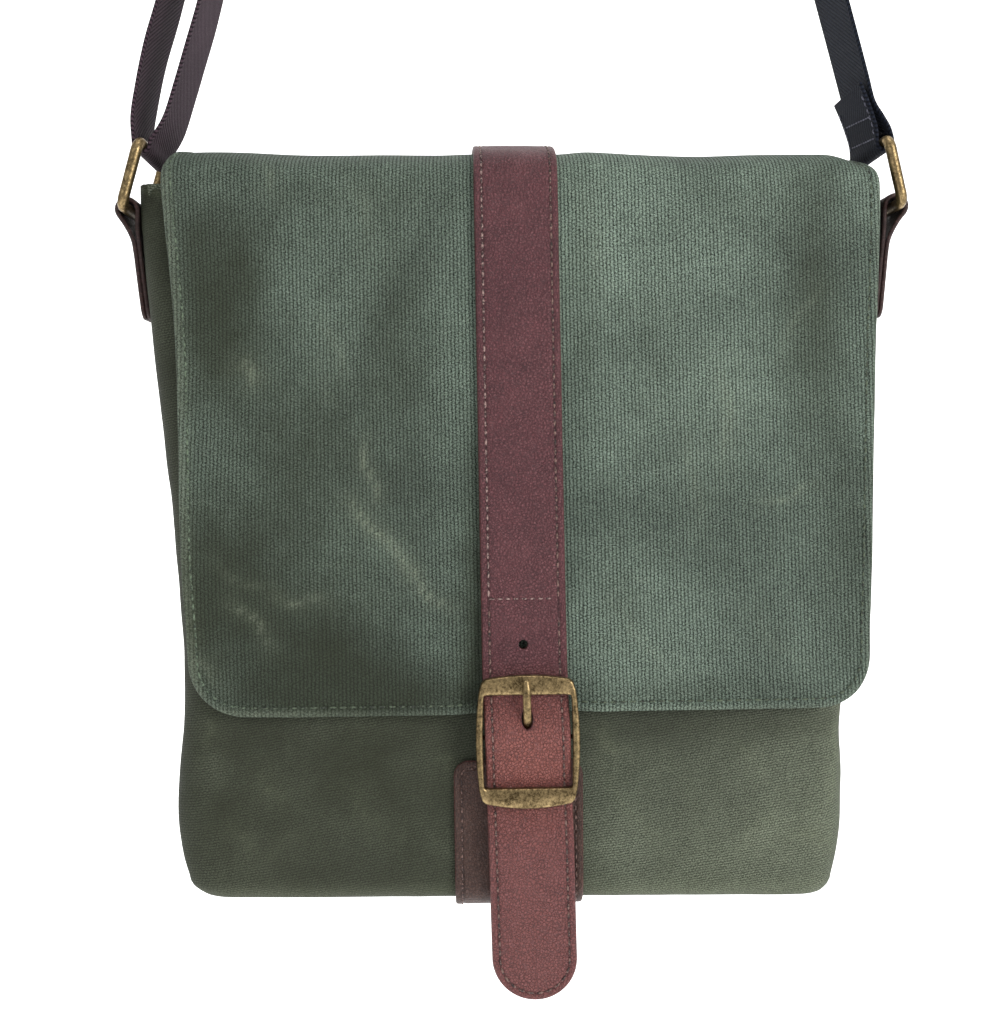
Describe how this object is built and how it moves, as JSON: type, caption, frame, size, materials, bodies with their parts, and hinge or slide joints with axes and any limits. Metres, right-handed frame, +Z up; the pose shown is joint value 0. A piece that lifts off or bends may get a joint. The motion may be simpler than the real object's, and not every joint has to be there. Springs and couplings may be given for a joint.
{
  "type": "messenger bag",
  "caption": "Flat canvas shoulder bag with a full-length front flap, a buckled leather closure strap, leather side tabs, metal rings and a webbing shoulder strap.",
  "frame": {"origin": "underside of the shoulder strap at its highest point, where the bag hangs", "axes": "+Z up along the hanging bag, -Y out of the flap's front, +X to the right as the front is looked at"},
  "size_m": [0.3512, 0.0936, 0.9093],
  "materials": {
    "waxed_canvas_flap": "waxed cotton duck, matte with a slight sheen",
    "waxed_canvas_body": "waxed cotton twill, matte",
    "lining_cotton": "plain cotton lining",
    "strap_leather": "pebbled reddish brown leather, semi-matte",
    "dark_leather": "dark brown leather, semi-matte",
    "antique_brass": "antiqued, mottled",
    "webbing": "dark twill webbing",
    "stiffener": "matte"
  },
  "bodies": {
    "bag": {"front_panel": "waxed_canvas_body", "back_panel": "waxed_canvas_body", "left_gusset": "waxed_canvas_body", "right_gusset": "waxed_canvas_body", "bottom_panel": "waxed_canvas_body", "front_pocket_panel": "waxed_canvas_body", "pocket_hem": "waxed_canvas_body", "base_board": "stiffener", "lining_front": "lining_cotton", "lining_back": "lining_cotton", "lining_left": "lining_cotton", "lining_right": "lining_cotton", "inner_slip_pocket": "lining_cotton", "strap_patch": "dark_leather", "snap_socket": "antique_brass", "left_side_tab": "dark_leather", "right_side_tab": "dark_leather", "strap_left_leg": "webbing", "strap_right_leg": "webbing", "strap_shoulder_arch": "webbing", "strap_return_ply": "webbing"},
    "flap_top": {"flap_top_panel": "waxed_canvas_flap", "closure_strap_over_top": "strap_leather"},
    "flap_front": {"flap_front_panel": "waxed_canvas_flap", "flap_lining": "lining_cotton", "closure_strap_upper": "strap_leather"},
    "strap_tail": {"closure_strap_tail": "strap_leather", "buckle_frame": "antique_brass", "buckle_center_bar": "antique_brass", "snap_stud": "antique_brass"},
    "prong": {"buckle_prong": "antique_brass"},
    "ring_left": {"left_ring": "antique_brass", "left_webbing_loop": "webbing"},
    "ring_right": {"right_ring": "antique_brass", "right_webbing_loop": "webbing"},
    "slider": {"slider_frame": "antique_brass", "slider_bar": "antique_brass"}
  },
  "joints": [
    {"name": "flap_lift", "type": "hinge", "parent": "bag", "child": "flap_top", "pos_m": [0, 0.0321, -0.54985], "axis": [-1, 0, 0], "range_deg": [0, 12]},
    {"name": "flap_fold", "type": "hinge", "parent": "flap_top", "child": "flap_front", "pos_m": [0, -0.0308, -0.55595], "axis": [-1, 0, 0], "range_deg": [0, 150]},
    {"name": "strap_tail_lift", "type": "hinge", "parent": "flap_front", "child": "strap_tail", "pos_m": [0, -0.04857, -0.73975], "axis": [-1, 0, 0], "range_deg": [0, 50]},
    {"name": "prong_tilt", "type": "hinge", "parent": "strap_tail", "child": "prong", "pos_m": [0, -0.0538, -0.79575], "axis": [1, 0, 0], "range_deg": [0, 12]},
    {"name": "ring_left_swing", "type": "hinge", "parent": "bag", "child": "ring_left", "pos_m": [-0.1702, 0, -0.57025], "axis": [0, -1, 0], "range_deg": [0, 25]},
    {"name": "ring_right_swing", "type": "hinge", "parent": "bag", "child": "ring_right", "pos_m": [0.1702, 0, -0.57025], "axis": [0, 1, 0], "range_deg": [0, 25]},
    {"name": "slider_slide", "type": "slide", "parent": "bag", "child": "slider", "axis": [0.2361, 0, 0.9717], "range_m": [-0.03, 0.12], "deforming": ["strap_return_ply"]}
  ]
}
